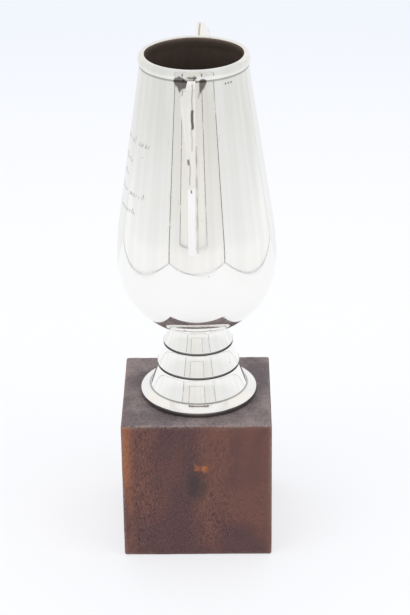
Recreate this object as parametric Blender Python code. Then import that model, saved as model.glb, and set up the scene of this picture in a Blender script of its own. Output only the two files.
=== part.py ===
# Golf trophy cup: a spun silver bowl on a three-tier silver foot, with two handles
# in the form of golf clubs, standing on a cube of dark wood.
# Metres, +Z up. The origin is on the cup's axis, level with the block's underside, and
# the front faces -Y.

import math

import bmesh
import bpy
from mathutils import Vector

# Fits and facets
joint_gap = 0.0003
turned_facets = 48
belly_steps = 11
shoulder_steps = 4
wall_steps = 3
bead_steps = 10
tier_steps = 4
bend_steps = 5
crease_angle = math.radians(32.0)

# Wooden block. The cup stands a little off its middle, and a little turned on it.
block_side = 0.0773
block_shift = -0.0010
block_turn = math.radians(-0.75)
block_edge = 0.0009
block_edge_segments = 2

# Silver foot, from the flange upwards
flange_radius = 0.0302
flange_lift = 0.0007
flange_edge = 0.0024
flange_lip = 0.0009
tier_radii = (0.0251, 0.0213, 0.0180)
tier_heights = (0.0131, 0.0122, 0.0095)
flange_rise = 0.0022
tier_draw_in = 0.0038
tier_flare = 1.35
groove_height = 0.0013
groove_depth = 0.0006
foot_wall = 0.0012
foot_top_radius = 0.0150

# Silver bowl
bowl_wall = 0.0013
belly_radius = 0.0404
belly_depth = 0.0400
belly_squareness = 2.11
shoulder_height = 0.0220
neck_radius = 0.0268
neck_above_belly = 0.1027
floor_radius = 0.0040

# Rolled rim, round outside and with a plain inner edge
bead_half_width = 0.0016
bead_half_height = 0.0027
bead_overhang = 0.0007
bead_start = math.radians(-62.0)
bead_end = math.radians(90.0)
mouth_lip = 0.0025
mouth_edge = 0.0005

# Club handles: a square bar runs from under the rim out to the head bend, and down
# over the bulge to the wall. Reaches are measured outwards from the neck, and drops
# down from the rim's top. Both are turned a little about the cup's axis, and each was
# bent by hand, so their bends sway differently.
handle_turn = math.radians(-2.4)
shaft_width = 0.0036
shaft_thickness = 0.0034
shaft_edge = 0.00045
shaft_stations = 6
neck_drop = 0.0079
neck_bite = 0.0020
bend_reach = 0.0200
bend_rise = 0.0023
front_bend_sway = 0.0008
back_bend_sway = -0.0016
head_bend_radius = 0.0042
shaft_bulge = 0.0258
shaft_bulge_drop = 0.0501
shaft_bulge_sway = 0.0004
shaft_bend_radius = 0.0090
shaft_end_drop = 0.0891
shaft_end_sway = -0.0004
shaft_end_bite = 0.0006

# The shaft swells to one side under its bend
swell_width = 0.0036
swell_start_drop = 0.0005
swell_full_drop = 0.0080
swell_end_drop = 0.0385

# Club head: a blade under the bar's top run, from its heel at the bend to its toe at
# the neck, which leans over to the swollen side as it goes down
blade_thickness = 0.0032
blade_sole = 0.0040
blade_edge = 0.0006
heel_inset = 0.0010
heel_sink = 0.0010
heel_depth = 0.0074
heel_lean = 0.0038
toe_depth = 0.0056
toe_lean = 0.0016

for item in list(bpy.data.objects):
    bpy.data.objects.remove(item, do_unlink=True)


def material(name, colour, roughness, metallic):
    made = bpy.data.materials.new(name)
    made.use_nodes = True
    shader = made.node_tree.nodes["Principled BSDF"]
    shader.inputs["Base Color"].default_value = (*colour, 1.0)
    shader.inputs["Roughness"].default_value = roughness
    shader.inputs["Metallic"].default_value = metallic
    return made


def silver(name):
    return material(name, (0.86, 0.85, 0.82), 0.12, 1.0)


def add_mesh(name, bm, finish):
    bmesh.ops.recalc_face_normals(bm, faces=bm.faces)
    mesh = bpy.data.meshes.new(name)
    bm.to_mesh(mesh)
    bm.free()
    mesh.shade_smooth()
    mesh.set_sharp_from_angle(angle=crease_angle)
    made = bpy.data.objects.new(name, mesh)
    bpy.context.collection.objects.link(made)
    if finish:
        mesh.materials.append(finish)
    return made


def cutter(made):
    made.hide_render = True
    made.display_type = "WIRE"
    return made


# Turns a loop of (radius, height) points about the vertical axis. A point on the
# axis becomes one vertex, and a loop that leaves the axis out closes on itself.
def turned(name, outline, finish):
    bm = bmesh.new()
    rings = []
    for radius, height in outline:
        if radius == 0.0:
            rings.append([bm.verts.new((0.0, 0.0, height))])
            continue
        angles = [2.0 * math.pi * step / turned_facets for step in range(turned_facets)]
        rings.append([bm.verts.new((radius * math.cos(a), radius * math.sin(a), height)) for a in angles])
    pairs = list(zip(rings, rings[1:]))
    if len(rings[0]) > 1:
        pairs.append((rings[-1], rings[0]))
    for lower, upper in pairs:
        for step in range(turned_facets):
            after = (step + 1) % turned_facets
            corners = [lower[step % len(lower)], lower[after % len(lower)],
                       upper[after % len(upper)], upper[step % len(upper)]]
            bm.faces.new(list(dict.fromkeys(corners)))
    return add_mesh(name, bm, finish)


# Heights that follow from the sizes above
foot_bottom = block_side + joint_gap
flange_top = foot_bottom + flange_lift + flange_edge
tiers_bottom = flange_top + flange_rise
tiers_top = tiers_bottom + sum(tier_heights)


# The belly is a quarter of a superellipse; this gives its depth under the widest
# ring at a radius.
def belly_depth_at(at_radius, radius, full_depth):
    share = at_radius / radius
    return full_depth * (1.0 - share ** belly_squareness) ** (1.0 / belly_squareness)


# The bowl's underside rests on the foot's outer top edge
belly_height = tiers_top + joint_gap + belly_depth_at(foot_top_radius, belly_radius, belly_depth)
neck_height = belly_height + neck_above_belly
bead_centre = neck_height + bead_half_height
rim_top = bead_centre + bead_half_height


# The side from the belly's middle up to the neck: a parabola that runs into a
# straight wall, and the same side moved inwards by the given amount.
def side_points(inset):
    slope = (belly_radius - neck_radius) / (neck_above_belly - 0.5 * shoulder_height)
    points = []
    for step in range(1, shoulder_steps + 1):
        rise = shoulder_height * step / shoulder_steps
        draw_in = 0.5 * slope * rise * rise / shoulder_height
        points.append((belly_radius - inset - draw_in, belly_height + rise))
    start = belly_radius - 0.5 * slope * shoulder_height
    for step in range(1, wall_steps + 1):
        rise = (neck_above_belly - shoulder_height) * step / wall_steps
        points.append((start - inset - slope * rise, belly_height + shoulder_height + rise))
    return points


# The belly from the floor's edge up to the widest ring
def belly_points(inset, inner_floor_radius):
    radius = belly_radius - inset
    depth = belly_depth - inset
    start = math.asin(min(1.0, inner_floor_radius / radius))
    points = []
    for step in range(belly_steps + 1):
        angle = start + (0.5 * math.pi - start) * step / belly_steps
        at_radius = radius * math.sin(angle) ** (2.0 / belly_squareness)
        points.append((at_radius, belly_height - belly_depth_at(min(at_radius, radius), radius, depth)))
    return points


def bead_points(grow):
    centre = neck_radius + bead_overhang - bead_half_width
    points = []
    for step in range(bead_steps + 1):
        angle = bead_start + (bead_end - bead_start) * step / bead_steps
        points.append((centre + (bead_half_width + grow) * math.cos(angle),
                       bead_centre + (bead_half_height + grow) * math.sin(angle)))
    return points


# The mouth's edge stands in from the neck by the lip
def mouth_points():
    mouth_radius = neck_radius - mouth_lip
    return [(mouth_radius + mouth_edge, rim_top), (mouth_radius, rim_top - mouth_edge),
            (mouth_radius, bead_centre)]


def wood_block():
    bm = bmesh.new()
    bmesh.ops.create_cube(bm, size=block_side)
    bmesh.ops.translate(bm, verts=bm.verts, vec=(0.0, 0.0, 0.5 * block_side))
    bmesh.ops.bevel(bm, geom=list(bm.edges), offset=block_edge, segments=block_edge_segments,
                    profile=0.5, affect="EDGES")
    made = add_mesh("wood_block", bm, material("wood", (0.16, 0.07, 0.06), 0.55, 0.0))
    made.location.x = block_shift
    made.rotation_euler.z = block_turn
    return made


# One open shell: out over the flange, up the three tiers, and back down inside
def foot():
    outline = [(flange_radius - flange_lip, foot_bottom),
               (flange_radius - flange_lip, foot_bottom + flange_lift),
               (flange_radius, foot_bottom + flange_lift),
               (flange_radius, flange_top)]
    inside = [(tier_radii[0] - foot_wall, foot_bottom)]
    base = tiers_bottom
    tops = [radius + groove_depth for radius in tier_radii[1:]] + [foot_top_radius]
    for index, (radius, height) in enumerate(zip(tier_radii, tier_heights)):
        last = index == len(tier_radii) - 1
        top_radius = foot_top_radius if last else max(tier_radii[index + 1], radius - tier_draw_in)
        cone_height = height if last else height - groove_height
        for step in range(tier_steps + 1):
            share = step / tier_steps
            outline.append((top_radius + (radius - top_radius) * (1.0 - share) ** tier_flare,
                            base + cone_height * share))
        if not last:
            groove_radius = tier_radii[index + 1] - groove_depth
            outline.append((groove_radius, base + cone_height))
            outline.append((groove_radius, base + height))
            inside.append((groove_radius - foot_wall, base + height - 0.5 * groove_height))
        base += height
    inner_top = foot_top_radius - foot_wall
    outline.append((inner_top, belly_height - joint_gap
                    - belly_depth_at(inner_top, belly_radius, belly_depth)))
    return turned("foot", outline + inside[::-1], silver("foot_silver"))


# The hollow bowl: up the outside, over the rolled rim and down the inside
def bowl():
    outside = belly_points(0.0, floor_radius) + side_points(0.0)
    inside = belly_points(bowl_wall, floor_radius) + side_points(bowl_wall)
    bottom = [(0.0, belly_height - belly_depth)]
    floor = [(0.0, belly_height - belly_depth + bowl_wall)]
    outline = bottom + outside + bead_points(0.0) + mouth_points() + inside[::-1] + floor
    return turned("bowl", outline, silver("bowl_silver"))


# The room that the bowl takes, grown by the gap that a handle keeps to it
def bowl_room():
    outside = belly_points(-joint_gap, floor_radius) + side_points(-joint_gap)
    bottom = [(0.0, belly_height - belly_depth - joint_gap)]
    top = [(0.0, rim_top + joint_gap)]
    return cutter(turned("bowl_room", bottom + outside + bead_points(joint_gap) + top, None))


# Rounds each inner corner of a path of (reach, sideways, height) points to its radius
def rounded(path, radii):
    points = [path[0]]
    for before, corner, after, radius in zip(path, path[1:], path[2:], radii):
        back = (before - corner).normalized()
        ahead = (after - corner).normalized()
        half = 0.5 * back.angle(ahead)
        centre = corner + (back + ahead).normalized() * radius / math.sin(half)
        first = (corner + back * radius / math.tan(half) - centre).normalized()
        last = (corner + ahead * radius / math.tan(half) - centre).normalized()
        for step in range(bend_steps + 1):
            points.append(centre + radius * first.slerp(last, step / bend_steps))
    return points + [path[-1]]


# Joins rings of four corners into a closed solid, and gives its lengthwise edges
def join_rings(bm, rings):
    found = []
    for ring, following in zip(rings, rings[1:]):
        for side in range(4):
            after = (side + 1) % 4
            bm.faces.new((ring[side], ring[after], following[after], following[side]))
            found.append(bm.edges.get((ring[side], following[side])))
    bm.faces.new(rings[0])
    bm.faces.new(rings[-1])
    return found


# How far the shaft's one side stands out at a height
def swell_at(height):
    drop = rim_top - height
    growing = (drop - swell_start_drop) / (swell_full_drop - swell_start_drop)
    fading = (swell_end_drop - drop) / (swell_end_drop - swell_full_drop)
    return swell_width * max(0.0, min(growing, fading, 1.0))


# A bar of rectangular section along a path, level from side to side
def bar(name, points, width, thickness, finish):
    bm = bmesh.new()
    rings = []
    for index, point in enumerate(points):
        ahead = points[min(index + 1, len(points) - 1)] - point
        behind = point - points[max(index - 1, 0)]
        ahead = (ahead if ahead.length else behind).normalized()
        behind = (behind if behind.length else ahead).normalized()
        along = (ahead + behind).normalized()
        across = Vector((-along.z, 0.0, along.x)).normalized() * 0.5 * thickness / along.dot(ahead)
        side = Vector((0.0, 0.5 * width, 0.0))
        swollen = Vector((0.0, -0.5 * width - swell_at(point.z), 0.0))
        corners = (across + swollen, across + side, side - across, swollen - across)
        rings.append([bm.verts.new(point + corner) for corner in corners])
    bmesh.ops.bevel(bm, geom=join_rings(bm, rings), offset=shaft_edge, segments=1, affect="EDGES")
    return add_mesh(name, bm, finish)


# The bar's corners in the handle's own frame: +X away from the cup, +Z up
def handle_corners(bend_sway):
    end_height = rim_top - shaft_end_drop
    wall_start, wall_end = side_points(0.0)[shoulder_steps - 1], side_points(0.0)[-1]
    share = (end_height - wall_start[1]) / (wall_end[1] - wall_start[1])
    end_reach = wall_start[0] + (wall_end[0] - wall_start[0]) * share
    return [Vector((neck_radius - neck_bite, 0.0, rim_top - neck_drop)),
            Vector((neck_radius + bend_reach, bend_sway, rim_top + bend_rise - 0.5 * shaft_thickness)),
            Vector((neck_radius + shaft_bulge, shaft_bulge_sway, rim_top - shaft_bulge_drop)),
            Vector((end_reach + 0.5 * shaft_thickness - shaft_end_bite, shaft_end_sway, end_height))]


# The bar's middle line, with its bends rounded and stations down its upper run
def handle_path(bend_sway):
    points = rounded(handle_corners(bend_sway), (head_bend_radius, shaft_bend_radius))
    last_of_head = bend_steps + 1
    run_start, run_end = points[last_of_head], points[last_of_head + 1]
    stations = [run_start.lerp(run_end, step / shaft_stations) for step in range(1, shaft_stations)]
    return points[:last_of_head + 1] + stations + points[last_of_head + 1:]


# One section of the blade: four corners round its top's middle
def blade_section(bm, top, depth, lean):
    half_top = Vector((0.0, 0.5 * blade_thickness, 0.0))
    half_sole = Vector((0.0, 0.5 * blade_sole, 0.0))
    sole = top + Vector((0.0, -lean, -depth))
    corners = (top + half_top, top - half_top, sole - half_sole, sole + half_sole)
    return [bm.verts.new(corner) for corner in corners]


def club_head(name, bend_sway):
    toe, heel = handle_corners(bend_sway)[:2]
    heel = heel - Vector((heel_inset, 0.0, heel_sink))
    bm = bmesh.new()
    rings = [blade_section(bm, toe, toe_depth, toe_lean), blade_section(bm, heel, heel_depth, heel_lean)]
    edges = join_rings(bm, rings) + [edge for edge in bm.edges if set(edge.verts) <= set(rings[1])]
    bmesh.ops.bevel(bm, geom=edges, offset=blade_edge, segments=1, affect="EDGES")
    return cutter(add_mesh(name, bm, None))


def boolean(made, operation, other):
    step = made.modifiers.new(operation.lower(), "BOOLEAN")
    step.operation = operation
    step.solver = "EXACT"
    step.object = other


def handle(name, facing, bend_sway, room):
    made = bar(name, handle_path(bend_sway), shaft_width, shaft_thickness, silver(name + "_silver"))
    head = club_head(name + "_head", bend_sway)
    for item in (made, head):
        item.rotation_euler.z = facing + handle_turn
    boolean(made, "UNION", head)
    boolean(made, "DIFFERENCE", room)
    return made


wood_block()
foot()
bowl()
room = bowl_room()
handle("handle_front", -0.5 * math.pi, front_bend_sway, room)
handle("handle_back", 0.5 * math.pi, back_bend_sway, room)
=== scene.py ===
# Golf trophy cup: spun silver bowl and foot, club handles, dark wood block
import math
import random

import bmesh
import bpy
import numpy as np
from mathutils import Matrix, Vector, noise


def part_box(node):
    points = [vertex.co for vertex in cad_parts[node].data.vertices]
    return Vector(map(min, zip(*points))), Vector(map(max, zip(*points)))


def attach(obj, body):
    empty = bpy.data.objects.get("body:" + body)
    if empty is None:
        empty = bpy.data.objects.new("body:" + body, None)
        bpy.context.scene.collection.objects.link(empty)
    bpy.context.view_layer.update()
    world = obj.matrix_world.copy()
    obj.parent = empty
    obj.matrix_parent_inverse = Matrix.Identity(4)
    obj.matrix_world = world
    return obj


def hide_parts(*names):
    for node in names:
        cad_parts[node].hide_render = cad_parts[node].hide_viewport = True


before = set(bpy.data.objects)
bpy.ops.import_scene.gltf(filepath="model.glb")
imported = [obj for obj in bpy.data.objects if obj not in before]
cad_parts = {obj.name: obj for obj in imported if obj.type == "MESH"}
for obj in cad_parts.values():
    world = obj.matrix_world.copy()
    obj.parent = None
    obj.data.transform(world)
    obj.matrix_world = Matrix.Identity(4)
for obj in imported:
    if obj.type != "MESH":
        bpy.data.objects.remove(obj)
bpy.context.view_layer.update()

print("frame loaded:", ", ".join(sorted(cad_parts)))


# A socket in a material's node tree, so that shader maths reads as plain expressions
class Shade:
    def __init__(self, tree, socket=None):
        self.tree = tree
        self.socket = socket

    def node(self, kind, settings=None, values=None, out=0):
        made = self.tree.nodes.new("ShaderNode" + kind)
        for key, value in (settings or {}).items():
            if key == "stops":
                ramp = made.color_ramp
                while len(ramp.elements) < len(value):
                    ramp.elements.new(0.5)
                for element, (place, colour) in zip(ramp.elements, value):
                    element.position = place
                    element.color = (*colour, 1.0)
            else:
                setattr(made, key, value)
        for key, value in (values or {}).items():
            if isinstance(value, Shade):
                self.tree.links.new(value.socket, made.inputs[key])
            else:
                made.inputs[key].default_value = value
        return Shade(self.tree, made.outputs[out])

    def maths(self, operation, *operands):
        return self.node("Math", {"operation": operation}, dict(enumerate(operands)))

    def __add__(self, other):
        return self.maths("ADD", self, other)

    __radd__ = __add__

    def __mul__(self, other):
        return self.maths("MULTIPLY", self, other)

    __rmul__ = __mul__

    def __sub__(self, other):
        return self.maths("SUBTRACT", self, other)

    def __rsub__(self, other):
        return self.maths("SUBTRACT", other, self)

    def __pow__(self, other):
        return self.maths("POWER", self, other)

    def clamped(self):
        return self.node("Clamp", {}, {"Value": self})

    def within(self, low, high):
        return self.node("MapRange", {"interpolation_type": "SMOOTHSTEP"},
                         {"Value": self, "From Min": low, "From Max": high})

    def axes(self):
        return [self.node("SeparateXYZ", {}, {"Vector": self}, out) for out in range(3)]

    def stretched(self, scale, turn=(0.0, 0.0, 0.0), shift=(0.0, 0.0, 0.0)):
        return self.node("Mapping", {}, {"Vector": self, "Scale": scale, "Rotation": turn, "Location": shift})

    def clouds(self, scale, detail=3.0, roughness=0.55, distortion=0.0):
        return self.node("TexNoise", {}, {"Vector": self, "Scale": scale, "Detail": detail,
                                          "Roughness": roughness, "Distortion": distortion})

    def mixed(self, first, second):
        return self.node("Mix", {"data_type": "RGBA"}, {0: self, 6: first, 7: second}, out=2)


def newMaterial(name, metallic, specular=0.5):
    made = bpy.data.materials.new(name)
    made.use_nodes = True
    shader = made.node_tree.nodes["Principled BSDF"]
    shader.inputs["Metallic"].default_value = metallic
    shader.inputs["Specular IOR Level"].default_value = specular
    place = Shade(made.node_tree).node("TexCoord", out=3)
    return made, shader, place


def feed(shader, socketName, value):
    shader.id_data.links.new(value.socket, shader.inputs[socketName])


silverLook = {
    "metal": (0.955, 0.945, 0.925), "warm metal": (0.935, 0.91, 0.865), "warmth": 0.55,
    # The dark colour serves real tarnish in pits and cuts, and painted shade and dark reflections alike
    "tarnish and painted shade": (0.085, 0.075, 0.07), "cut and painted shade strength": 0.86, "pit strength": 0.5, "band edge": 0.0003,
    # The pale grey colour is painted shade for the upper wall, standing for its dimmer reflection
    "upperPaintedShade": (0.80, 0.79, 0.755), "streak scale": (95.0, 95.0, 5.0), "streak strength": 0.55,
    "roughness": 0.04, "smudge roughness": 0.07, "dark roughness": 0.3,
    "wipe scale": (60.0, 60.0, 9.0), "patch scale": 34.0, "wave scale": (26.0, 26.0, 18.0),
    "pit scale": 150.0, "pit size": (0.035, 0.07), "pit group scale": 60.0,
    "hair scale": (900.0, 900.0, 40.0), "hair turn": (0.25, 0.1, 0.0),
    "relief": 0.00002, "wave height": 6.0, "hair height": 0.4, "pit height": 1.2,
}


# Old polished sterling: a soft yellow cast in patches, wiping marks, hairline scratches and pin
# pits. Streaked painted shade, standing for a dimmer reflection, thickens over a stretch of height;
# bands of painted shade and shadow, and a point attribute of engraved cuts and painted shade, darken.
def silverMaterial(name, darkBands=(), upperPaintedShade=None, upperPaintedShadeStrength=1.0, look=silverLook):
    made, shader, place = newMaterial(name, 1.0)
    wiped = place.stretched(look["wipe scale"]).clouds(1.0, 4.0).within(0.42, 0.72)
    patches = place.clouds(look["patch scale"], 3.0).within(0.45, 0.75)
    cells = {"Vector": place, "Scale": look["pit scale"], "Randomness": 1.0}
    pits = place.node("TexVoronoi", {"feature": "F1"}, cells)
    rare = place.clouds(look["pit group scale"], 1.0).within(0.60, 0.66)
    pits = (1.0 - pits.within(*look["pit size"])) * rare
    hair = place.stretched(look["hair scale"], look["hair turn"]).clouds(1.0, 2.0).within(0.62, 0.74)
    height = place.axes()[2]
    colour = (patches * look["warmth"]).mixed((*look["metal"], 1.0), (*look["warm metal"], 1.0))
    # Painted shade: the wall dims towards the neck, streaked, standing for a dimmer reflection
    if upperPaintedShade:
        streaks = place.stretched(look["streak scale"]).clouds(1.0, 3.0).within(0.3, 0.7)
        streaks = streaks * look["streak strength"] + (1.0 - look["streak strength"])
        colour = (height.within(*upperPaintedShade) * streaks * upperPaintedShadeStrength).mixed(colour, (*look["upperPaintedShade"], 1.0))
    dark = pits * look["pit strength"]
    edge = look["band edge"]
    for low, high, strength in darkBands:
        band = height.within(low - edge, low) * (1.0 - height.within(high, high + edge))
        dark = dark + band * strength
    # The cut attribute holds the engraved cuts and also the painted shade beside the handles
    cut = place.node("Attribute", {"attribute_name": "cut"}, out=2)
    dark = (dark + cut * look["cut and painted shade strength"]).clamped()
    feed(shader, "Base Color", dark.mixed(colour, (*look["tarnish and painted shade"], 1.0)))
    smudged = look["roughness"] + wiped * look["smudge roughness"]
    feed(shader, "Roughness", smudged + dark * look["dark roughness"])
    waves = place.stretched(look["wave scale"]).clouds(1.0, 1.0)
    bump = waves * look["wave height"] - hair * look["hair height"] - pits * look["pit height"]
    feed(shader, "Normal", place.node("Bump", {}, {"Height": bump, "Distance": look["relief"]}))
    return made


insideLook = {
    "brown": (0.40, 0.31, 0.25), "umber": (0.26, 0.20, 0.17), "streak scale": (70.0, 70.0, 12.0),
    "metallic": 0.85, "roughness": 0.42, "streak roughness": 0.15,
}


# The inside of the bowl is left unpolished, brown and dull
def insideMaterial(look=insideLook):
    made, shader, place = newMaterial("silver inside", look["metallic"])
    streaks = place.stretched(look["streak scale"]).clouds(1.0, 4.0).within(0.35, 0.7)
    feed(shader, "Base Color", streaks.mixed((*look["brown"], 1.0), (*look["umber"], 1.0)))
    feed(shader, "Roughness", look["roughness"] + streaks * look["streak roughness"])
    return made


making = {
    "seed size": 0.001,     # the small plane that every spun or extruded outline starts from
    "merge gap": 0.000002,  # vertices closer than this are one
    "corner": 0.3,          # how far in the middle point of a rounded corner lies, in radii
}


def deselectAll():
    if bpy.context.object and bpy.context.object.mode != "OBJECT":
        bpy.ops.object.mode_set(mode="OBJECT")
    bpy.ops.object.select_all(action="DESELECT")


def finishPiece(piece, name, slotName, materials, *nodes):
    piece.name = name
    piece.data.materials.clear()
    for look in materials:
        piece.data.materials.append(look)
    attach(piece, "root")
    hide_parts(*nodes)
    print("made", name, "with", len(piece.data.polygons), "faces")
    return piece


# One vertex, extruded along (radius, height) points and spun about the upright axis
def spunPiece(points, steps, creaseAngle):
    deselectAll()
    bpy.ops.mesh.primitive_plane_add(size=making["seed size"], location=(0.0, 0.0, 0.0))
    piece = bpy.context.object
    bpy.ops.object.mode_set(mode="EDIT")
    bpy.ops.mesh.select_all(action="SELECT")
    bpy.ops.mesh.merge(type="CENTER")
    bpy.ops.transform.translate(value=(points[0][0], 0.0, points[0][1]))
    for (oldRadius, oldHeight), (radius, height) in zip(points, points[1:]):
        step = (radius - oldRadius, 0.0, height - oldHeight)
        bpy.ops.mesh.extrude_region_move(TRANSFORM_OT_translate={"value": step})
    bpy.ops.mesh.select_all(action="SELECT")
    bpy.ops.mesh.spin(steps=steps, angle=2.0 * math.pi, center=(0.0, 0.0, 0.0), axis=(0.0, 0.0, 1.0))
    bpy.ops.mesh.select_all(action="SELECT")
    bpy.ops.mesh.remove_doubles(threshold=making["merge gap"])
    bpy.ops.mesh.normals_make_consistent(inside=False)
    bpy.ops.object.mode_set(mode="OBJECT")
    bpy.ops.object.shade_smooth_by_angle(angle=creaseAngle)
    return piece


print("camera")
cameraPlace = {
    "aim": (0.00377, 0.0, 0.12574), "distance": 1.0682, "elevation": math.radians(26.102),
    "roll": math.radians(-0.741), "focal pixels": 2074.2, "sensor": 36.0, "frame pixels": 615.0,
    "nearest": 0.01,
}


def addCamera(place):
    camera = bpy.data.objects.new("camera", bpy.data.cameras.new("camera"))
    bpy.context.collection.objects.link(camera)
    camera.data.sensor_width = place["sensor"]
    camera.data.lens = place["focal pixels"] * place["sensor"] / place["frame pixels"]
    camera.data.clip_start = place["nearest"]
    rise = place["elevation"]
    back = Vector((0.0, -math.cos(rise), math.sin(rise)))
    level, upright = Vector((1.0, 0.0, 0.0)), Vector((0.0, math.sin(rise), math.cos(rise)))
    right = level * math.cos(place["roll"]) + upright * math.sin(place["roll"])
    up = upright * math.cos(place["roll"]) - level * math.sin(place["roll"])
    turn = Matrix((right, up, back)).transposed().to_4x4()
    camera.matrix_world = Matrix.Translation(Vector(place["aim"]) + back * place["distance"]) @ turn
    bpy.context.scene.camera = camera


addCamera(cameraPlace)


print("bowl")
bowlLow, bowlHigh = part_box("bowl")
bowlShape = {
    "belly radius": bowlHigh[0], "belly depth": 0.0400, "squareness": 2.11, "shoulder": 0.0220,
    "neck radius": 0.0268, "neck above belly": 0.1027, "wall": 0.0013,
    "bead half width": 0.0016, "bead half height": 0.0027, "bead overhang": 0.0007,
    "bead start": math.radians(-62.0), "bead end": math.radians(90.0),
    "mouth lip": 0.0025, "mouth edge": 0.0005, "neck margin": 0.0001,
    "belly steps": 34, "shoulder steps": 12, "wall steps": 44, "bead steps": 22, "spin steps": 168,
    "crease": math.radians(35.0), "inward": -0.5,
    "bead shadow": 0.0003, "bead shadow strength": 0.45,
    "painted shade from": 0.030, "painted shade short of neck": 0.010, "painted shade strength": 0.9,
}
bellyHeight = bowlLow[2] + bowlShape["belly depth"]
neckHeight = bellyHeight + bowlShape["neck above belly"]
beadCentre = neckHeight + bowlShape["bead half height"]
rimHeight = beadCentre + bowlShape["bead half height"]


# Radius of the bowl's side at a height above the belly
def sideRadius(rise, shape=bowlShape):
    straight = shape["neck above belly"] - 0.5 * shape["shoulder"]
    lean = (shape["belly radius"] - shape["neck radius"]) / straight
    if rise < shape["shoulder"]:
        return shape["belly radius"] - 0.5 * lean * rise * rise / shape["shoulder"]
    return shape["belly radius"] - lean * (rise - 0.5 * shape["shoulder"])


def bowlSide(inset, shape=bowlShape):
    points = []
    radius, depth = shape["belly radius"] - inset, shape["belly depth"] - inset
    power = 2.0 / shape["squareness"]
    for step in range(shape["belly steps"]):
        angle = 0.5 * math.pi * step / shape["belly steps"]
        points.append((radius * math.sin(angle) ** power, bellyHeight - depth * math.cos(angle) ** power))
    top = shape["neck above belly"]
    for step in range(shape["shoulder steps"] + 1):
        rise = shape["shoulder"] * step / shape["shoulder steps"]
        points.append((sideRadius(rise) - inset, bellyHeight + rise))
    for step in range(1, shape["wall steps"] + 1):
        rise = shape["shoulder"] + (top - shape["shoulder"]) * step / shape["wall steps"]
        points.append((sideRadius(rise) - inset, bellyHeight + rise))
    return points


def beadRound(shape=bowlShape):
    centre = shape["neck radius"] + shape["bead overhang"] - shape["bead half width"]
    points = []
    for step in range(shape["bead steps"] + 1):
        angle = shape["bead start"] + (shape["bead end"] - shape["bead start"]) * step / shape["bead steps"]
        points.append((centre + shape["bead half width"] * math.cos(angle),
                       beadCentre + shape["bead half height"] * math.sin(angle)))
    top, edge = beadCentre + shape["bead half height"], shape["mouth edge"]
    radius = shape["neck radius"] - shape["mouth lip"]
    corner = making["corner"] * edge
    points += [(radius + edge, top), (radius + corner, top - corner), (radius, top - edge)]
    return points + [(radius, beadCentre)]


inscription = {
    "middle": math.radians(180.0), "reach": 0.84, "top": 0.2260, "bottom": 0.1845, "margin": 0.001,
    "rows": (  # height, half angle, stroke height
        (0.2225, 0.80, 0.0036), (0.2125, 0.42, 0.0026), (0.2050, 0.33, 0.0026),
        (0.1965, 0.76, 0.0030), (0.1875, 0.58, 0.0026)),
    "spacing": 0.0021, "spread": (0.7, 1.15), "slant": 0.35, "depth": 0.00011, "half width": 0.00022,
    "sizes": (0.45, 0.5, 0.55, 1.0), "return": 0.0008, "return low": 0.2, "tail": 0.0012, "tail rise": 0.0002,
    "return odds": 0.55, "tail odds": 0.35, "gap odds": 0.14, "cuts": 6, "seed": 4,
}


# Rows of slanted strokes and loops that stand for the worn dedication: (along, height) pairs
def inscriptionStrokes(look=inscription):
    draw = random.Random(look["seed"])
    strokes = []
    for height, halfAngle, tall in look["rows"]:
        radius = sideRadius(height - bellyHeight)
        along = -halfAngle * radius
        while along < halfAngle * radius:
            size = tall * draw.choice(look["sizes"])
            lean = look["slant"] * size
            tip, top = along + lean, height + size
            strokes.append((along, height, tip, top))
            if draw.random() < look["return odds"]:
                strokes.append((tip, top, tip + look["return"], height + look["return low"] * size))
            if draw.random() < look["tail odds"]:
                strokes.append((along, height, along + look["tail"], height + look["tail rise"]))
            along += look["spacing"] * draw.uniform(*look["spread"])
            if draw.random() < look["gap odds"]:
                along += look["spacing"]
    return strokes


# Three tiny plain punch marks under the rim, to the right of the front
punchMarks = {
    "angle": math.radians(-53.0), "height": 0.2558, "gap": 0.0017, "half side": 0.00055, "edge": 0.0003,
    "near angle": 0.12, "near height": 0.003,
}


# Painted shade and dark reflections of the handles on the bowl, by the handles, in the corners and down the
# wall
handlePaintedShade = {
    "lines": (  # a line's start and end as (along, height), half widths at both, strength
        ((-0.0070, 0.2580, -0.0072, 0.2522), 0.0030, 0.0002, 1.0),
        ((0.0042, 0.2578, 0.0020, 0.2506), 0.0022, 0.0002, 1.0),
        ((-0.0030, 0.2604, 0.0008, 0.2604), 0.0010, 0.0008, 1.0),
        ((-0.0040, 0.2580, 0.0020, 0.2582), 0.0006, 0.0006, 1.0),
        ((0.0006, 0.2270, 0.0008, 0.1745), 0.0006, 0.0005, 0.5)),
    "left": -0.0108, "right": 0.0072, "bottom": 0.2488,
    "streak half": 0.0022, "streak bottom": 0.1735, "streak top": 0.2285, "cuts": 3,
    "soft": 0.0007, "ragged": 0.0007, "ragged scale": (700.0, 700.0, 110.0),
}


def angleFrom(angles, middle):
    return np.remainder(angles - middle + math.pi, 2.0 * math.pi) - math.pi


# Each point's distance to a line, and the share of the line at which it is nearest
def distanceTo(line, along, heights):
    startAlong, startHeight, endAlong, endHeight = line
    dx, dz = endAlong - startAlong, endHeight - startHeight
    share = ((along - startAlong) * dx + (heights - startHeight) * dz) / (dx * dx + dz * dz)
    share = np.clip(share, 0.0, 1.0)
    return np.hypot(along - startAlong - share * dx, heights - startHeight - share * dz), share


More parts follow.
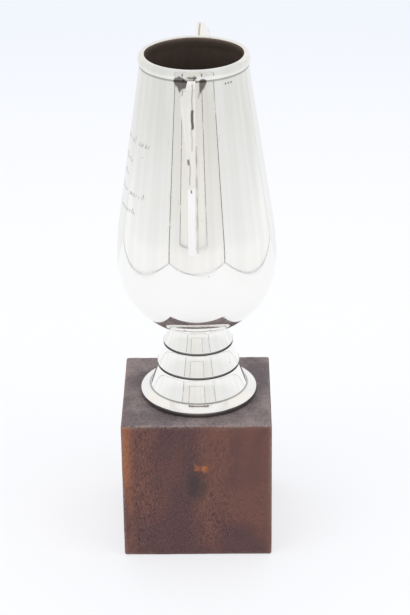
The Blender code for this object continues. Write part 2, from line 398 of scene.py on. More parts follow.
# Painted shade and dark reflections beside both handles, as a darkening along each line
def paintedShadeDepth(angles, heights, radii, ragged, look=handlePaintedShade):
    depth = np.zeros(len(angles))
    for facing in (-0.5 * math.pi, 0.5 * math.pi):
        along = angleFrom(angles, facing) * radii
        for line, startWide, endWide, strength in look["lines"]:
            gap, share = distanceTo(line, along, heights)
            wide = startWide + (endWide - startWide) * share
            level = (wide - gap + ragged * look["ragged"]) / look["soft"]
            depth = np.maximum(depth, np.clip(level, 0.0, 1.0) * strength)
    return depth


def nearRows(angle, height, look=inscription, marks=punchMarks):
    turned = abs(math.remainder(angle - look["middle"], 2.0 * math.pi))
    inRows = turned < look["reach"] and look["bottom"] < height < look["top"]
    toMarks = abs(angle - marks["angle"])
    return inRows or (toMarks < marks["near angle"] and abs(height - marks["height"]) < marks["near height"])


def nearPaintedShade(angle, height, look=handlePaintedShade):
    if nearRows(angle, height):
        return False
    along = (angle - math.copysign(0.5 * math.pi, angle)) * bowlShape["neck radius"]
    if look["bottom"] < height < rimHeight - look["soft"]:
        return look["left"] < along < look["right"]
    return abs(along) < look["streak half"] and look["streak bottom"] < height < look["streak top"]


# The outside faces near the strokes or the painted shade are subdivided, and the rest stay coarse
def cutFiner(piece, isNear, cuts):
    bpy.ops.object.mode_set(mode="EDIT")
    bpy.ops.mesh.select_all(action="DESELECT")
    bpy.ops.object.mode_set(mode="OBJECT")
    for face in piece.data.polygons:
        centre = face.center
        outward = Vector((centre.x, centre.y, 0.0)).dot(face.normal) > 0.0
        face.select = outward and isNear(math.atan2(centre.y, centre.x), centre.z)
    bpy.ops.object.mode_set(mode="EDIT")
    bpy.ops.mesh.select_mode(type="FACE")
    bpy.ops.mesh.subdivide(number_cuts=cuts)
    bpy.ops.mesh.select_mode(type="VERT")
    bpy.ops.object.mode_set(mode="OBJECT")


def engraveBowl(piece, look=inscription, marks=punchMarks):
    cutFiner(piece, nearPaintedShade, handlePaintedShade["cuts"])
    cutFiner(piece, nearRows, look["cuts"])
    mesh = piece.data
    count = len(mesh.vertices)
    places = np.empty(count * 3)
    mesh.vertices.foreach_get("co", places)
    places = places.reshape(count, 3)
    radii = np.hypot(places[:, 0], places[:, 1])
    heights = places[:, 2]
    sides = np.array([sideRadius(rise) for rise in heights - bellyHeight])
    onWall = (heights > bellyHeight) & (heights < neckHeight - bowlShape["neck margin"])
    onSide = onWall & (radii > sides - 0.5 * bowlShape["wall"])
    angles = np.arctan2(places[:, 1], places[:, 0])
    cut = np.zeros(count)
    margin = look["margin"]
    rowSide = onSide & (heights > look["bottom"] - margin) & (heights < look["top"] + margin)
    along = angleFrom(angles, look["middle"]) * sides
    for line in inscriptionStrokes():
        gap, share = distanceTo(line, along, heights)
        cut = np.maximum(cut, np.where(rowSide, 1.0 - gap / look["half width"], 0.0))
    for index in (-1, 0, 1):
        across = (angles - marks["angle"]) * sides - index * marks["gap"]
        edge = np.maximum(np.abs(across), np.abs(heights - marks["height"]))
        cut = np.maximum(cut, np.where(onSide, (marks["half side"] - edge) / marks["edge"], 0.0))
    cut = np.clip(cut, 0.0, 1.0)
    wanted = np.where(onSide, sides - cut * look["depth"], radii)
    scale = np.where(radii > 0.0, wanted / np.maximum(radii, 1e-9), 1.0)
    places[:, 0] *= scale
    places[:, 1] *= scale
    mesh.vertices.foreach_set("co", places.ravel())
    # Painted shade beside the handles is stored along with the engraved cuts in the cut attribute
    grain = Vector(handlePaintedShade["ragged scale"])
    ragged = np.array([noise.noise(Vector(spot) * grain) for spot in places])
    paintedShade = paintedShadeDepth(angles, heights, radii, ragged)
    layer = mesh.attributes.new("cut", "FLOAT", "POINT")
    layer.data.foreach_set("value", np.maximum(cut, paintedShade))
    mesh.update()


def buildBowl(shape=bowlShape):
    outside, inside = bowlSide(0.0), bowlSide(shape["wall"])
    piece = spunPiece(outside + beadRound() + inside[::-1], shape["spin steps"], shape["crease"])
    engraveBowl(piece)
    indices = []
    for face in piece.data.polygons:
        centre = face.center
        inward = Vector((centre.x, centre.y, 0.0)).normalized().dot(face.normal) < shape["inward"]
        isFloor = centre.z < bellyHeight and face.normal.z > 0.0
        isLip = centre.z > rimHeight - shape["mouth edge"]
        indices.append(1 if (inward or isFloor) and not isLip else 0)
    shadow = shape["bead shadow"]
    underBead = (neckHeight - shadow, neckHeight + shadow, shape["bead shadow strength"])
    # Painted shade dims the wall from a little above the belly to short of the neck
    upperPaintedShade = (bellyHeight + shape["painted shade from"], neckHeight - shape["painted shade short of neck"])
    polished = silverMaterial("silver bowl", (underBead,), upperPaintedShade, shape["painted shade strength"])
    finishPiece(piece, "bowlSpunSilver", "silver", (polished, insideMaterial()), "bowl")
    piece.data.polygons.foreach_set("material_index", indices)


buildBowl()


print("foot")
footLow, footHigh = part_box("foot")
footShape = {
    "flange radius": footHigh[0], "flange lift": 0.0007, "flange edge": 0.0024, "flange lip": 0.0009,
    "flange rise": 0.0022, "tiers": ((0.0251, 0.0131), (0.0213, 0.0122), (0.0180, 0.0095)),
    "draw in": 0.0038, "flare": 1.35, "groove height": 0.0013, "groove depth": 0.0006,
    "top radius": 0.0150, "wall": 0.0012, "edge round": 0.00035, "tier steps": 12, "spin steps": 144,
    "crease": math.radians(30.0), "seat gap": 0.0004, "seat fillet": 0.0010, "land": 0.0001,
    # The tones below are painted shade in the grooves and at the seat, and a darker flange edge
    "groove painted shade": 0.8, "edge tone": 0.85, "edge tone inset": 0.0007, "seat painted shade": 0.6, "seat band": 0.0002,
}


def footOutline(shape=footShape):
    base, radius = footLow[2], shape["flange radius"]
    lift, lip = base + shape["flange lift"], radius - shape["flange lip"]
    top = lift + shape["flange edge"]
    soft, land = shape["edge round"], shape["land"]
    corner = making["corner"] * soft
    points = [(lip, base), (lip, lift), (radius - soft, lift), (radius, lift + soft),
              (radius, top - soft), (radius - corner, top - corner), (radius - soft, top)]
    height = top + shape["flange rise"]
    tiers = shape["tiers"]
    inside = [(tiers[0][0] - shape["wall"], base)]
    seat = tiers[0][0] + shape["seat gap"]
    points += [(seat + shape["seat fillet"], height - soft), (seat, height - land)]
    for index, (tierRadius, tierHeight) in enumerate(tiers):
        last = index == len(tiers) - 1
        topRadius = shape["top radius"] if last else max(tiers[index + 1][0], tierRadius - shape["draw in"])
        cone = tierHeight if last else tierHeight - shape["groove height"]
        for step in range(shape["tier steps"] + 1):
            share = step / shape["tier steps"]
            radiusHere = topRadius + (tierRadius - topRadius) * (1.0 - share) ** shape["flare"]
            points.append((radiusHere, height + cone * share))
        if not last:
            nextRadius = tiers[index + 1][0]
            groove, end = nextRadius - shape["groove depth"], height + tierHeight
            points += [(groove, height + cone + land), (groove, end - land),
                       (nextRadius - soft, end), (nextRadius, end + soft)]
            inside.append((groove - shape["wall"], end - 0.5 * shape["groove height"]))
        height += tierHeight
    points.append((shape["top radius"] - shape["wall"], footHigh[2]))
    return points + inside[::-1]


# Painted shade darkens the two grooves and the seat where the lowest tier meets the flange, and the flange's
# edge is painted darker
def buildFoot(shape=footShape):
    outline = footOutline()
    piece = spunPiece(outline + outline[:1], shape["spin steps"], shape["crease"])
    top = footLow[2] + shape["flange lift"] + shape["flange edge"]
    seat = top + shape["flange rise"]
    bands = []
    height = seat
    # Bands of painted shade in the grooves and at the seat, and a darker band on the flange's edge
    for tierRadius, tierHeight in shape["tiers"][:-1]:
        height += tierHeight
        bands.append((height - shape["groove height"], height - shape["land"], shape["groove painted shade"]))
    bands.append((footLow[2], top - shape["edge tone inset"], shape["edge tone"]))
    bands.append((seat, seat + shape["seat band"], shape["seat painted shade"]))
    finishPiece(piece, "footSpunSilver", "silver", (silverMaterial("silver foot", bands),), "foot")


buildFoot()


print("handles")
handleShape = {
    "turn": math.radians(-2.4), "width": 0.0036, "thickness": 0.0034, "clearance": 0.0003,
    "neck drop": 0.0079, "neck bite": 0.0020, "bend reach": 0.0200, "bend rise": 0.0023, "head bend": 0.0042,
    "bulge": 0.02576, "bulge drop": 0.0501, "bulge sway": 0.0004, "bulge bend": 0.0090,
    "front sway": 0.0008, "back sway": -0.0016, "end drop": 0.0891, "end sway": -0.0004, "end bite": 0.0006,
    "bend steps": 10, "stations": 14, "sliver": 0.00004, "speck": 0.000003,
    "edge": 0.00045, "edge segments": 3, "edge angle": math.radians(38.0), "crease": math.radians(30.0),
    "room steps": 96, "room crease": math.radians(35.0),
}
swellShape = {"width": 0.0036, "start drop": 0.0005, "full drop": 0.0080, "end drop": 0.0385}
bladeShape = {
    "thickness": 0.0032, "sole": 0.0040, "heel inset": 0.0010, "heel sink": 0.0010, "heel depth": 0.0074,
    "heel lean": 0.0038, "toe depth": 0.0056, "toe lean": 0.0016, "stations": 6,
}


# The bar's corners in the handle's own frame: +X away from the cup, +Z up
def handleCorners(bendSway, shape=handleShape):
    neck, rim = bowlShape["neck radius"], rimHeight
    endHeight = rim - shape["end drop"]
    endReach = sideRadius(endHeight - bellyHeight) + 0.5 * shape["thickness"] - shape["end bite"]
    return [Vector((neck - shape["neck bite"], 0.0, rim - shape["neck drop"])),
            Vector((neck + shape["bend reach"], bendSway,
                    rim + shape["bend rise"] - 0.5 * shape["thickness"])),
            Vector((neck + shape["bulge"], shape["bulge sway"], rim - shape["bulge drop"])),
            Vector((endReach, shape["end sway"], endHeight))]


def roundedPath(path, radii, steps):
    points = [path[0]]
    for before, corner, after, radius in zip(path, path[1:], path[2:], radii):
        back, ahead = (before - corner).normalized(), (after - corner).normalized()
        half = 0.5 * back.angle(ahead)
        centre = corner + (back + ahead).normalized() * radius / math.sin(half)
        first = (corner + back * radius / math.tan(half) - centre).normalized()
        last = (corner + ahead * radius / math.tan(half) - centre).normalized()
        points += [centre + radius * first.slerp(last, step / steps) for step in range(steps + 1)]
    return points + [path[-1]]


# One face extruded through rings of four corners, each ring set in its place
def extrudedBar(rings):
    deselectAll()
    bpy.ops.mesh.primitive_plane_add(size=making["seed size"])
    piece = bpy.context.object
    bpy.ops.object.mode_set(mode="EDIT")
    for index, corners in enumerate(rings):
        if index:
            bpy.ops.mesh.extrude_region_move()
        mesh = bmesh.from_edit_mesh(piece.data)
        for vert, corner in zip([vert for vert in mesh.verts if vert.select], corners):
            vert.co = corner
        bmesh.update_edit_mesh(piece.data)
    bpy.ops.mesh.select_all(action="SELECT")
    bpy.ops.mesh.normals_make_consistent(inside=False)
    bpy.ops.object.mode_set(mode="OBJECT")
    return piece


# How far the shaft's one side stands out at a height
def swellAt(height, shape=swellShape):
    drop = rimHeight - height
    growing = (drop - shape["start drop"]) / (shape["full drop"] - shape["start drop"])
    fading = (shape["end drop"] - drop) / (shape["end drop"] - shape["full drop"])
    return shape["width"] * max(0.0, min(growing, fading, 1.0))


def buildShaft(bendSway, shape=handleShape):
    bends, stations = (shape["head bend"], shape["bulge bend"]), shape["stations"]
    points = roundedPath(handleCorners(bendSway), bends, shape["bend steps"])
    top = shape["bend steps"] + 1
    run = [points[top].lerp(points[top + 1], step / stations) for step in range(1, stations)]
    points = points[:top + 1] + run + points[top + 1:]
    rings = []
    for index, point in enumerate(points):
        ahead = points[min(index + 1, len(points) - 1)] - point
        behind = point - points[max(index - 1, 0)]
        ahead = (ahead if ahead.length else behind).normalized()
        behind = (behind if behind.length else ahead).normalized()
        along = (ahead + behind).normalized()
        across = Vector((-along.z, 0.0, along.x)).normalized() * 0.5 * shape["thickness"] / along.dot(ahead)
        side = Vector((0.0, 0.5 * shape["width"], 0.0))
        swollen = Vector((0.0, -0.5 * shape["width"] - swellAt(point.z), 0.0))
        rings.append([point + across + swollen, point + across + side,
                      point - across + swollen, point - across + side])
    return extrudedBar(rings)


# The club's head: a blade under the top run, whose sole leans over to the swollen side
def buildHead(bendSway, shape=bladeShape):
    toe, heel = handleCorners(bendSway)[:2]
    heel = heel - Vector((shape["heel inset"], 0.0, shape["heel sink"]))
    halfTop = Vector((0.0, 0.5 * shape["thickness"], 0.0))
    halfSole = Vector((0.0, 0.5 * shape["sole"], 0.0))
    rings = []
    for step in range(shape["stations"] + 1):
        share = step / shape["stations"]
        top = toe.lerp(heel, share)
        lean = shape["toe lean"] + (shape["heel lean"] - shape["toe lean"]) * share
        depth = shape["toe depth"] + (shape["heel depth"] - shape["toe depth"]) * share
        sole = top + Vector((0.0, -lean, -depth))
        rings.append([top - halfTop, top + halfTop, sole - halfSole, sole + halfSole])
    return extrudedBar(rings)


def applyAll(piece):
    bpy.context.view_layer.objects.active = piece
    for modifier in list(piece.modifiers):
        bpy.ops.object.modifier_apply(modifier=modifier.name)


def softened(piece, width, segments, angle):
    soften = piece.modifiers.new("soften", "BEVEL")
    soften.width = width
    soften.segments = segments
    soften.limit_method = "ANGLE"
    soften.angle_limit = angle
    applyAll(piece)


# The piece is turned to its place, and its place is then put into its mesh
def settled(piece, turn, shift=0.0):
    deselectAll()
    piece.select_set(True)
    bpy.context.view_layer.objects.active = piece
    piece.location.x = shift
    piece.rotation_euler.z = turn
    bpy.ops.object.transform_apply(location=True, rotation=True, scale=True)


# The bowl's outside, grown by the gap, that the handle's ends are cut to
def buildBowlRoom(shape=handleShape):
    gap = shape["clearance"]
    side = [(radius, height) for radius, height in bowlSide(-gap) if height > bellyHeight]
    bead = [(radius + gap, height) for radius, height in beadRound()
            if height > neckHeight + gap and radius > bowlShape["neck radius"]]
    outline = [(0.0, side[0][1])] + side + bead + [(0.0, bead[-1][1])]
    return spunPiece(outline, shape["room steps"], shape["room crease"])


def combine(piece, operation, other):
    step = piece.modifiers.new(operation.lower(), "BOOLEAN")
    step.operation = operation
    step.solver = "EXACT"
    step.object = other


def cleaned(piece, threshold, closeHoles):
    bpy.context.view_layer.objects.active = piece
    bpy.ops.object.mode_set(mode="EDIT")
    bpy.ops.mesh.select_all(action="SELECT")
    bpy.ops.mesh.remove_doubles(threshold=threshold)
    bpy.ops.mesh.dissolve_degenerate(threshold=threshold)
    if closeHoles:
        bpy.ops.mesh.fill_holes(sides=0)
    bpy.ops.object.mode_set(mode="OBJECT")


# Slivers along the cuts are merged first, because they would hold the bevel back
def buildHandle(name, node, facing, bendSway, look, shape=handleShape):
    head, room = buildHead(bendSway), buildBowlRoom()
    piece = buildShaft(bendSway)
    combine(head, "DIFFERENCE", room)
    combine(piece, "DIFFERENCE", room)
    combine(piece, "UNION", head)
    applyAll(piece)
    cleaned(piece, shape["sliver"], False)
    softened(piece, shape["edge"], shape["edge segments"], shape["edge angle"])
    for cutter in (head, room):
        bpy.data.objects.remove(cutter, do_unlink=True)
    settled(piece, facing + shape["turn"])
    cleaned(piece, shape["speck"], True)
    bpy.ops.object.shade_smooth_by_angle(angle=shape["crease"])
    finishPiece(piece, name, "silver", (look,), node)


# Painted dark reflections and shade on the shafts: (sideways middle, half width, lowest and highest point,
# strength)
shaftPaintedReflections = {
    "both": ((-0.0008, 0.00065, 0.2262, 0.2290, 0.75), (-0.0004, 0.00045, 0.2166, 0.2262, 0.30),
             (0.0003, 0.00045, 0.2122, 0.2140, 0.75), (0.0008, 0.00050, 0.2330, 0.2434, 0.25)),
    "front": ((0.00105, 0.00070, 0.2434, 0.2527, 0.90), (0.0011, 0.00040, 0.2527, 0.2640, 0.40)),
    "back": ((-0.0009, 0.00070, 0.2434, 0.2527, 0.90), (-0.0012, 0.00050, 0.2527, 0.2645, 0.50)),
    "wander": 0.0008, "wander scale": 150.0, "core": 0.5, "rim": 1.3, "end": 0.0006,
}


# The handles' silver is the same, with painted dark reflections at places in the handle's own frame
def handleMaterial(side, facing, look=shaftPaintedReflections):
    made = silverMaterial("silver " + side + " handle")
    shader = made.node_tree.nodes["Principled BSDF"]
    x, y, z = Shade(made.node_tree).node("TexCoord", out=3).axes()
    turn = facing + handleShape["turn"]
    sideways = y * math.cos(turn) - x * math.sin(turn)
    along = {"W": z, "Scale": look["wander scale"], "Detail": 1.0}
    wander = (z.node("TexNoise", {"noise_dimensions": "1D"}, along) - 0.5) * look["wander"]
    end = look["end"]
    dark = None
    for middle, half, low, high, strength in look["both"] + look[side]:
        away = z.maths("ABSOLUTE", sideways + wander - middle)
        near = 1.0 - away.within(look["core"] * half, look["rim"] * half)
        above, past = z.within(low - end, low + end), z.within(high - end, high + end)
        spot = near * above * (1.0 - past) * strength
        dark = spot if dark is None else dark + spot
    base = Shade(made.node_tree, shader.inputs["Base Color"].links[0].from_socket)
    feed(shader, "Base Color", dark.clamped().mixed(base, (*silverLook["tarnish and painted shade"], 1.0)))
    return made


front, back = -0.5 * math.pi, 0.5 * math.pi
frontSilver, backSilver = handleMaterial("front", front), handleMaterial("back", back)
buildHandle("handleFrontClub", "handle_front", front, handleShape["front sway"], frontSilver)
buildHandle("handleBackClub", "handle_back", back, handleShape["back sway"], backSilver)


print("wood block")
woodLow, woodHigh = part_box("wood_block")
woodShape = {
    "shift": -0.0010, "turn": math.radians(-0.75), "cuts": 60, "crease": math.radians(60.0),
    "edge": 0.0010, "edge segments": 3, "edge angle": math.radians(30.0), "corner reach": 0.004,
    "wear": 0.00035, "wear scale": 90.0, "dents": 0.00025, "dent scale": 260.0,
    "arris": 0.0016, "arris wear": 1.6,
}
woodLook = {
    "dark": (0.034, 0.019, 0.023), "brown": (0.128, 0.060, 0.058), "red": (0.225, 0.093, 0.066),
    "orange": (0.34, 0.130, 0.062), "amber": (0.42, 0.14, 0.035), "stain": (0.030, 0.027, 0.030),
    "dust": (0.250, 0.205, 0.212), "grime": (0.115, 0.093, 0.099), "worn": (0.34, 0.27, 0.23),
    "figure turns": (math.radians(42.0), math.radians(-38.0)), "figure strength": 0.62,
    "fleck size": 0.0011, "pore size": 0.0005, "pore strength": 0.75, "fibre strength": 0.35,
    "streak": (-0.0385, 0.0060), "streak scale": (90.0, 90.0, 14.0),  # its side's place along X, its reach
    "stain place": (-0.0018, 0.0420, 0.0075, 0.0130), "stain strength": 0.6, "stain wander": 0.006,
    "chips": ((-0.0019, 0.0527, 0.0024, 0.55), (0.0024, 0.0525, 0.0026, 0.85)), "torn": 0.007,
    "dust cover": 0.92, "speckle strength": 0.4, "wear strength": 0.75,
    "roughness": 0.50, "pore roughness": 0.25, "dust roughness": 0.15,
    "relief": 0.0003, "relief strength": 0.7,
}


# Fine ripples across the grain: bands along one diagonal, broken up by noise
def ripples(place, turn, look=woodLook):
    ripple = place.stretched((1.0 / look["fleck size"],) * 3, (0.0, turn, 0.0))
    waves = {"Vector": ripple, "Scale": 0.32, "Distortion": 3.2, "Detail": 2.0, "Detail Scale": 0.8}
    return ripple.node("TexWave", {"bands_direction": "X"}, waves, out=1).within(0.25, 0.75)


def woodMaterial(look=woodLook):
    made, shader, place = newMaterial("dark hardwood", 0.0, 0.3)
    x, y, z = place.axes()
    grounds = place.node("NewGeometry", {}, {}, out=1).axes()
    broad = place.stretched((34.0, 34.0, 15.0)).clouds(1.0, 3.0, 0.55, 0.6)
    side = place.stretched((22.0, 22.0, 22.0)).clouds(1.0, 1.0).within(0.44, 0.56)
    first, second = (ripples(place, turn) for turn in look["figure turns"])
    figure = side * first + (1.0 - side) * second
    poreScale = 1.0 / look["pore size"]
    pores = place.stretched((poreScale, poreScale, 0.35 * poreScale)).clouds(1.0, 3.0, 0.6)
    colour = broad.within(0.40, 0.64).mixed((*look["brown"], 1.0), (*look["red"], 1.0))
    colour = (figure * look["figure strength"]).mixed(colour, (*look["dark"], 1.0))
    sunk = (1.0 - pores.within(0.36, 0.52)) * look["pore strength"]
    colour = sunk.mixed(colour, (*look["dark"], 1.0))
    colour = (pores.within(0.60, 0.72) * look["fibre strength"]).mixed(colour, (*look["worn"], 1.0))
    # Paler wood runs up one edge of the front
    edge, reach = look["streak"]
    broken = place.stretched(look["streak scale"]).clouds(1.0, 3.0).within(0.3, 0.6)
    streak = (1.0 - (x - edge).within(0.0, reach)) * broken
    colour = (streak * (pores.within(0.3, 0.6) * 0.5 + 0.4)).mixed(colour, (*look["orange"], 1.0))
    # A smoky stain and two amber chips mark the front's middle
    front = 1.0 - grounds[1].within(-0.9, -0.5)
    wander = (place.clouds(180.0, 2.0) - 0.5) * look["stain wander"]
    stainX, stainZ, halfWide, halfTall = look["stain place"]
    across, tall = (x - stainX + wander) * (1.0 / halfWide), (z - stainZ + wander) * (1.0 / halfTall)
    blot = 1.0 - ((across ** 2 + tall ** 2) ** 0.5).within(0.3, 1.0)
    colour = (blot * front * look["stain strength"]).mixed(colour, (*look["stain"], 1.0))
    torn = (place.clouds(480.0, 3.0, 0.65) - 0.5) * look["torn"]
    for chipX, chipZ, size, strength in look["chips"]:
        away = ((x - chipX + torn) ** 2 + (z - chipZ - torn) ** 2) ** 0.5
        chip = 1.0 - away.within(0.3 * size, size)
        colour = (chip * front * strength).mixed(colour, (*look["amber"], 1.0))
    # Dust and grime lie on the top, and the edges are worn pale
    up = grounds[2].within(0.5, 0.95)
    speckle = place.clouds(900.0, 3.0, 0.7).within(0.36, 0.62)
    patch = place.clouds(55.0, 3.0).within(0.35, 0.65)
    top = (patch * 0.6 + speckle * 0.4).mixed((*look["grime"], 1.0), (*look["dust"], 1.0))
    top = (speckle * patch * look["speckle strength"]).mixed(top, (*look["worn"], 1.0))
    colour = (up * look["dust cover"]).mixed(colour, top)
    wear = place.node("Attribute", {"attribute_name": "wear"}, out=2)
    colour = (wear * speckle * look["wear strength"]).mixed(colour, (*look["worn"], 1.0))
    feed(shader, "Base Color", colour)
    rough = look["roughness"] + pores * look["pore roughness"] + up * look["dust roughness"]
    feed(shader, "Roughness", rough)
    bump = figure * 0.3 + pores * 0.9 + speckle * up * 0.5
    relief = {"Height": bump, "Distance": look["relief"], "Strength": look["relief strength"]}
    feed(shader, "Normal", place.node("Bump", {}, relief))
    return made


def buildBlock(shape=woodShape):
    side = woodHigh[2] - woodLow[2]
    deselectAll()
    middle = Vector((0.0, 0.0, 0.5 * (woodLow[2] + woodHigh[2])))
    bpy.ops.mesh.primitive_cube_add(size=side, location=middle)
    piece = bpy.context.object
    bpy.ops.object.transform_apply(location=True, rotation=True, scale=True)
    bpy.ops.object.mode_set(mode="EDIT")
    bpy.ops.mesh.select_all(action="SELECT")
    bpy.ops.mesh.subdivide(number_cuts=shape["cuts"])
    bpy.ops.object.mode_set(mode="OBJECT")
    softened(piece, shape["edge"], shape["edge segments"], shape["edge angle"])
    wear = piece.data.attributes.new("wear", "FLOAT", "POINT")
    for vert in piece.data.vertices:
        away = vert.co - middle
        reach = sorted(abs(value) for value in away)
        toEdge = 0.5 * side - reach[1]
        edgeWear = max(0.0, 1.0 - toEdge / shape["corner reach"])
        rough = 0.5 + 0.5 * noise.noise(vert.co * shape["wear scale"])
        fine = 0.5 + 0.5 * noise.noise(vert.co * shape["dent scale"])
        inward = shape["wear"] * edgeWear * rough + shape["dents"] * edgeWear * fine
        bare = max(0.0, 1.0 - toEdge / shape["arris"]) * min(1.0, shape["arris wear"] * rough)
        wear.data[vert.index].value = bare
        vert.co -= away.normalized() * inward
    settled(piece, shape["turn"], shape["shift"])
    bpy.ops.object.shade_smooth_by_angle(angle=shape["crease"])
    finishPiece(piece, "woodBlockWorn", "wood", (woodMaterial(),), "wood_block")


buildBlock()


print("studio")
studio = {
    "floor size": 16.0, "floor": (0.28, 0.28, 0.28), "floor roughness": 0.9, "far from": 0.30, "far to": 0.95,
    "glow near": (0.620, 0.622, 0.640), "glow far": (0.550, 0.572, 0.628),
    "sky": (0.93, 0.96, 1.0), "sky strength": 0.75,
    "front wall": -0.50, "back wall": 0.31, "half width": 0.40, "height": 1.10, "sheet gap": 0.004,
    "side glow": ((0.95, 0.96, 0.97), (0.86, 0.87, 0.875)),
    "front glow": ((0.93, 0.93, 0.93), (0.83, 0.825, 0.81)),
    "back glow": ((0.91, 0.92, 0.94), (0.95, 0.935, 0.91)),
    "low part": (0.06, 0.13), "back low part": (0.27, 0.38), "fold": 0.09, "fold scale": 9.0,
    "seam": 0.016, "seam tone": (0.17, 0.17, 0.18), "back seam": 0.010, "back seam tone": (0.60, 0.60, 0.61),
    "foot": 0.005, "foot tone": (0.46, 0.46, 0.48),
    "back shade": (0.13, 0.12, 0.205), "back shade tone": (0.52, 0.52, 0.53),  # width, height, middle
    "opening": (-0.21, 0.125, 0.11), "opening seam": 0.009,  # left, right and lower edge
    "opening glow": ((0.87, 0.86, 0.83), (0.83, 0.82, 0.79)),
}


# A glowing cloth: brighter towards its foot, with soft upright folds where it has any
def glowMaterial(name, low, high=None, lowPart=studio["low part"], look=studio):
    made = bpy.data.materials.new(name)
    made.use_nodes = True
    tree = made.node_tree
    tree.nodes.clear()
    glow = tree.nodes.new("ShaderNodeEmission")
    glow.inputs["Color"].default_value = (*low, 1.0)
    if high:
        place = Shade(tree).node("TexCoord", out=3)
        start, end = (height / look["height"] - 0.5 for height in lowPart)
        colour = place.axes()[1].within(start, end).mixed((*low, 1.0), (*high, 1.0))
        tree.links.new(colour.socket, glow.inputs["Color"])
        folds = place.stretched((look["fold scale"], 0.8, 1.0)).clouds(1.0, 2.0) - 0.5
        tree.links.new((folds * (2.0 * look["fold"]) + 1.0).socket, glow.inputs["Strength"])
    out = tree.nodes.new("ShaderNodeOutputMaterial")
    tree.links.new(glow.outputs[0], out.inputs[0])
    made.cycles.emission_sampling = "NONE"
    return made


# A flat sheet of the studio tent, seen in the silver only
def tentSheet(name, centre, size, look, facing="Y"):
    deselectAll()
    bpy.ops.mesh.primitive_plane_add(size=1.0, location=centre)
    sheet = bpy.context.object
    sheet.name = name
    sheet.scale = (size[0], size[1], 1.0)
    sheet.rotation_euler = {"Y": (0.5 * math.pi, 0.0, 0.0), "X": (0.5 * math.pi, 0.0, 0.5 * math.pi),
                            "Z": (0.0, 0.0, 0.0)}[facing]
    sheet.data.materials.append(look)
    sheet.visible_camera = False
    sheet.visible_diffuse = False
    sheet.visible_shadow = False
    return sheet


def buildTent(look=studio):
    wall = glowMaterial("tent wall", *look["side glow"])
    front = glowMaterial("tent front", *look["front glow"])
    back = glowMaterial("tent back", *look["back glow"], look["back low part"])
    flap = glowMaterial("tent flap", *look["opening glow"])
    dark = glowMaterial("tent seam", look["seam tone"])
    pale = glowMaterial("tent back seam", look["back seam tone"])
    foot = glowMaterial("tent foot", look["foot tone"])
    tall, half = look["height"], look["half width"]
    near, far = look["front wall"], look["back wall"]
    depth, middle = far - near, 0.5 * (near + far)
    inset = look["sheet gap"]
    tentSheet("tentFront", (0.0, near, 0.5 * tall), (2.0 * half, tall), front)
    tentSheet("tentBack", (0.0, far, 0.5 * tall), (2.0 * half, tall), back)
    wide, high, middleHeight = look["back shade"]
    shade = glowMaterial("tent back shade", look["back shade tone"])
    tentSheet("tentBackShade", (0.0, far - inset, middleHeight), (wide, high), shade)
    line = look["foot"]
    tentSheet("tentFrontLine", (0.0, near + inset, 0.5 * line), (2.0 * half, line), foot)
    for side in (-1.0, 1.0):
        tentSheet("tentSide", (side * half, middle, 0.5 * tall), (depth, tall), wall, "X")
        tentSheet("tentSideLine", (side * (half - inset), middle, 0.5 * line), (depth, line), foot, "X")
        seams = (near + 2.0 * inset, look["seam"], dark), (far - 2.0 * inset, look["back seam"], pale)
        for end, wide, tone in seams:
            tentSheet("tentSeam", (side * (half - 0.5 * wide), end, 0.5 * tall), (wide, tall), tone)
    tentSheet("tentTop", (0.0, middle, tall), (2.0 * half, depth), wall, "Z")
    left, right, low = look["opening"]
    thin, across, halfway = look["opening seam"], 0.5 * (left + right), 0.5 * (tall + low)
    tentSheet("tentFlap", (across, near + inset, halfway), (right - left, tall - low), flap)
    for x in (left, right):
        tentSheet("tentOpeningSide", (x, near + 2.0 * inset, halfway), (thin, tall - low), dark)
    tentSheet("tentOpeningFoot", (across, near + 2.0 * inset, low), (right - left, 0.5 * thin), foot)


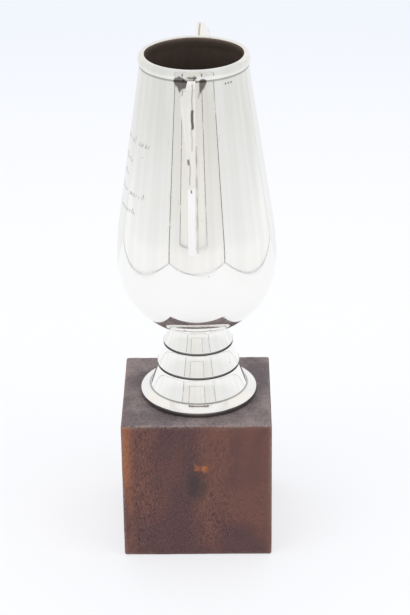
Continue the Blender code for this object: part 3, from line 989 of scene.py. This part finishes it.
def addFloor(look=studio):
    deselectAll()
    bpy.ops.mesh.primitive_plane_add(size=look["floor size"], location=(0.0, 0.0, woodLow[2]))
    floor = bpy.context.object
    floor.name = "paleFloor"
    made, shader, place = newMaterial("pale floor", 0.0, 0.1)
    far = place.axes()[1].within(look["far from"], look["far to"])
    feed(shader, "Emission Color", far.mixed((*look["glow near"], 1.0), (*look["glow far"], 1.0)))
    shader.inputs["Base Color"].default_value = (*look["floor"], 1.0)
    shader.inputs["Emission Strength"].default_value = 1.0
    shader.inputs["Roughness"].default_value = look["floor roughness"]
    made.cycles.emission_sampling = "NONE"
    floor.data.materials.append(made)


lamps = (  # name, place, aim, size, power, tint
    ("overhead", (0.0, -0.1, 1.5), (0.0, 0.0, 0.0), 1.6, 13.0, (1.0, 1.0, 1.0)),
    ("left", (-1.5, -0.9, 1.0), (0.0, 0.0, 0.1), 1.2, 7.0, (1.0, 0.99, 0.97)),
    ("right", (1.5, -0.9, 1.0), (0.0, 0.0, 0.1), 1.2, 7.0, (0.97, 0.985, 1.0)),
    ("behind", (0.0, 1.6, 1.0), (0.0, 0.0, 0.1), 1.2, 4.0, (0.97, 0.985, 1.0)),
)


def addLamps():
    for name, place, aim, size, power, tint in lamps:
        lamp = bpy.data.objects.new(name, bpy.data.lights.new(name, "AREA"))
        lamp.data.shape = "SQUARE"
        lamp.data.size = size
        lamp.data.energy = power
        lamp.data.color = tint
        lamp.location = place
        lamp.rotation_euler = (Vector(aim) - Vector(place)).to_track_quat("-Z", "Y").to_euler()
        lamp.visible_camera = False
        lamp.visible_glossy = False
        bpy.context.collection.objects.link(lamp)


def addSky(look=studio):
    world = bpy.data.worlds.new("studio sky")
    world.use_nodes = True
    ground = world.node_tree.nodes["Background"]
    ground.inputs["Color"].default_value = (*look["sky"], 1.0)
    ground.inputs["Strength"].default_value = look["sky strength"]
    bpy.context.scene.world = world
    bpy.context.scene.view_settings.view_transform = "Standard"


buildTent()
addFloor()
addLamps()
addSky()
